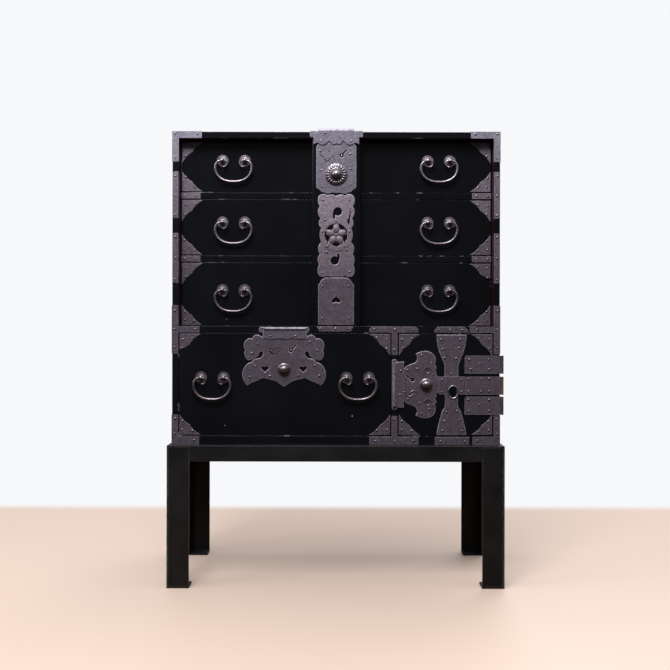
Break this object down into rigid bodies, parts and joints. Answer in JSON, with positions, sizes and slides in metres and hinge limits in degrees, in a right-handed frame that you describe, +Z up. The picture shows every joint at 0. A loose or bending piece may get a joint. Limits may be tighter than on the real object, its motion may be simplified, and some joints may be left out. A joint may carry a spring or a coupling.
{
  "type": "lacquered drawer chest",
  "caption": "Iron-bound black lacquer chest with drawers, a lift-off locking bar and a small hinged door, on an angle-iron stand.",
  "frame": {"origin": "on the floor, under the middle of the stand", "axes": "+X to the right, +Y to the back, +Z up; the front faces -Y"},
  "size_m": [0.64, 0.342, 0.8735],
  "materials": {
    "black_lacquer": "black lacquer, glossy, worn along the edges",
    "forged_iron": "hammered wrought iron, brown-grey and pitted",
    "black_steel": "satin black paint",
    "bare_wood": "plain unfinished paulownia"
  },
  "bodies": {
    "frame": {"stand_top_frame": "black_steel", "stand_leg_front_left": "black_steel", "stand_leg_front_right": "black_steel", "stand_leg_rear_left": "black_steel", "stand_leg_rear_right": "black_steel", "left_side_panel": "black_lacquer", "right_side_panel": "black_lacquer", "top_panel": "black_lacquer", "bottom_panel": "black_lacquer", "back_panel": "black_lacquer", "upper_shelf": "black_lacquer", "middle_shelf": "black_lacquer", "lower_shelf": "black_lacquer", "compartment_divider": "black_lacquer", "compartment_shelf": "black_lacquer", "top_hasp_plate": "forged_iron", "drawer_hasp_plate": "forged_iron", "door_hasp_plate": "forged_iron", "side_hinge_top_leaf": "forged_iron", "side_hinge_middle_leaf": "forged_iron", "side_hinge_bottom_leaf": "forged_iron"},
    "locking_bar": {"locking_bar_board": "black_lacquer", "locking_bar_lock_plate": "forged_iron", "locking_bar_lock_case": "forged_iron", "locking_bar_knob": "forged_iron", "locking_bar_crest_plate": "forged_iron", "locking_bar_foot_plate": "forged_iron"},
    "top_hasp": {"top_hasp_flap": "forged_iron"},
    "drawer_1": {"drawer_1_front": "black_lacquer", "drawer_1_box": "bare_wood"},
    "drawer_2": {"drawer_2_front": "black_lacquer", "drawer_2_box": "bare_wood"},
    "drawer_3": {"drawer_3_front": "black_lacquer", "drawer_3_box": "bare_wood"},
    "drawer_4": {"drawer_4_front": "black_lacquer", "drawer_4_box": "bare_wood", "drawer_4_lock_plate": "forged_iron", "drawer_4_lock_case": "forged_iron", "drawer_4_knob": "forged_iron"},
    "drawer_hasp": {"drawer_hasp_flap": "forged_iron"},
    "door": {"door_panel": "black_lacquer", "door_lock_plate": "forged_iron", "door_lock_case": "forged_iron", "door_knob": "forged_iron", "door_cross_strap": "forged_iron", "door_eyelet": "forged_iron", "door_hinge_top_strap": "forged_iron", "door_hinge_middle_strap": "forged_iron", "door_hinge_bottom_strap": "forged_iron"},
    "door_hasp": {"door_hasp_flap": "forged_iron"},
    "drawer_1_left_handle": {"drawer_1_bail_left": "forged_iron"},
    "drawer_1_right_handle": {"drawer_1_bail_right": "forged_iron"},
    "drawer_2_left_handle": {"drawer_2_bail_left": "forged_iron"},
    "drawer_2_right_handle": {"drawer_2_bail_right": "forged_iron"},
    "drawer_3_left_handle": {"drawer_3_bail_left": "forged_iron"},
    "drawer_3_right_handle": {"drawer_3_bail_right": "forged_iron"},
    "drawer_4_left_handle": {"drawer_4_bail_left": "forged_iron"},
    "drawer_4_right_handle": {"drawer_4_bail_right": "forged_iron"}
  },
  "joints": [
    {"name": "locking_bar_lift_off", "type": "slide", "parent": "frame", "child": "locking_bar", "axis": [0, -1, 0], "range_m": [0, 0.44]},
    {"name": "drawer_1_slide", "type": "slide", "parent": "frame", "child": "drawer_1", "axis": [0, -1, 0], "range_m": [0, 0.22]},
    {"name": "drawer_2_slide", "type": "slide", "parent": "frame", "child": "drawer_2", "axis": [0, -1, 0], "range_m": [0, 0.22]},
    {"name": "drawer_3_slide", "type": "slide", "parent": "frame", "child": "drawer_3", "axis": [0, -1, 0], "range_m": [0, 0.22]},
    {"name": "drawer_4_slide", "type": "slide", "parent": "frame", "child": "drawer_4", "axis": [0, -1, 0], "range_m": [0, 0.23]},
    {"name": "door_swing", "type": "hinge", "parent": "frame", "child": "door", "pos_m": [0.3168, -0.1544, 0.3857], "axis": [0, 0, 1], "range_deg": [0, 170]},
    {"name": "top_hasp_swing", "type": "hinge", "parent": "locking_bar", "child": "top_hasp", "pos_m": [0, -0.1525, 0.8709], "axis": [-1, 0, 0], "range_deg": [0, 110]},
    {"name": "drawer_hasp_swing", "type": "hinge", "parent": "drawer_4", "child": "drawer_hasp", "pos_m": [-0.0974, -0.1557, 0.4921], "axis": [-1, 0, 0], "range_deg": [0, 110]},
    {"name": "door_hasp_swing", "type": "hinge", "parent": "door", "child": "door_hasp", "pos_m": [0.1106, -0.1557, 0.3853], "axis": [0, 0, -1], "range_deg": [0, 110]},
    {"name": "drawer_1_left_bail_swing", "type": "hinge", "parent": "drawer_1", "child": "drawer_1_left_handle", "pos_m": [-0.1985, -0.1325, 0.8163], "axis": [-1, 0, 0], "range_deg": [-6, 120]},
    {"name": "drawer_1_right_bail_swing", "type": "hinge", "parent": "drawer_1", "child": "drawer_1_right_handle", "pos_m": [0.1985, -0.1325, 0.8163], "axis": [-1, 0, 0], "range_deg": [-6, 120]},
    {"name": "drawer_2_left_bail_swing", "type": "hinge", "parent": "drawer_2", "child": "drawer_2_left_handle", "pos_m": [-0.1985, -0.1325, 0.6971], "axis": [-1, 0, 0], "range_deg": [-6, 120]},
    {"name": "drawer_2_right_bail_swing", "type": "hinge", "parent": "drawer_2", "child": "drawer_2_right_handle", "pos_m": [0.1985, -0.1325, 0.6971], "axis": [-1, 0, 0], "range_deg": [-6, 120]},
    {"name": "drawer_3_left_bail_swing", "type": "hinge", "parent": "drawer_3", "child": "drawer_3_left_handle", "pos_m": [-0.1985, -0.1325, 0.5661], "axis": [-1, 0, 0], "range_deg": [-6, 120]},
    {"name": "drawer_3_right_bail_swing", "type": "hinge", "parent": "drawer_3", "child": "drawer_3_right_handle", "pos_m": [0.1985, -0.1325, 0.5661], "axis": [-1, 0, 0], "range_deg": [-6, 120]},
    {"name": "drawer_4_left_bail_swing", "type": "hinge", "parent": "drawer_4", "child": "drawer_4_left_handle", "pos_m": [-0.236, -0.1605, 0.398], "axis": [-1, 0, 0], "range_deg": [-6, 120]},
    {"name": "drawer_4_right_bail_swing", "type": "hinge", "parent": "drawer_4", "child": "drawer_4_right_handle", "pos_m": [0.042, -0.1605, 0.398], "axis": [-1, 0, 0], "range_deg": [-6, 120]}
  ],
  "couplings": [
    {"joint": "drawer_1_slide", "follows": "locking_bar_lift_off", "ratio": 0.5},
    {"joint": "drawer_2_slide", "follows": "locking_bar_lift_off", "ratio": 0.5},
    {"joint": "drawer_3_slide", "follows": "locking_bar_lift_off", "ratio": 0.5}
  ]
}
